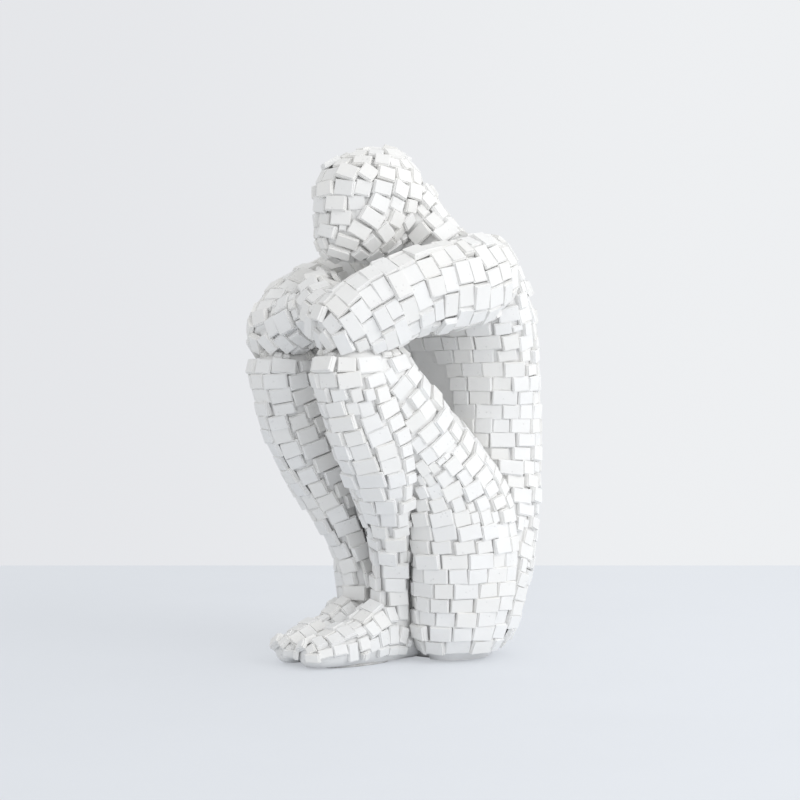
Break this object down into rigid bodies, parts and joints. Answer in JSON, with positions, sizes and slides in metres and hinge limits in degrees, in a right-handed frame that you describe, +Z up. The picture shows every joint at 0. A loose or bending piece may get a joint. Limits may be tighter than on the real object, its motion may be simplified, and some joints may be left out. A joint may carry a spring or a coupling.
{
  "type": "thinker statue",
  "caption": "Seated figure with drawn-up knees, folded arms and a bowed faceless head, clad all over in small flat tiles.",
  "frame": {"origin": "the middle of the seat's rest face, on the floor under the torso", "axes": "+Z up, the figure faces -Y, its left side is +X"},
  "size_m": [0.1264, 0.1491, 0.2557],
  "materials": {
    "casting": "matte off-white cast stone",
    "tile": "satin off-white, slightly worn edges",
    "dowel": "plain drawn steel",
    "plate": "plain moulded",
    "felt": "pale grey felt"
  },
  "bodies": {
    "root": {"base_plate": "plate", "head_casting": "casting", "head_tiles": "tile", "left_arm_casting": "casting", "left_foot_pad": "felt", "left_foot_tiles": "tile", "left_forearm_tiles": "tile", "left_hip_dowel": "dowel", "left_hip_tiles": "tile", "left_leg_casting": "casting", "left_shin_tiles": "tile", "left_shoulder_dowel": "dowel", "left_thigh_tiles": "tile", "left_upper_arm_tiles": "tile", "neck_dowel": "dowel", "neck_tiles": "tile", "right_arm_casting": "casting", "right_foot_pad": "felt", "right_foot_tiles": "tile", "right_forearm_tiles": "tile", "right_hip_dowel": "dowel", "right_hip_tiles": "tile", "right_leg_casting": "casting", "right_shin_tiles": "tile", "right_shoulder_dowel": "dowel", "right_thigh_tiles": "tile", "right_upper_arm_tiles": "tile", "seat_pad": "felt", "torso_casting": "casting", "torso_tiles": "tile"}
  },
  "joints": []
}
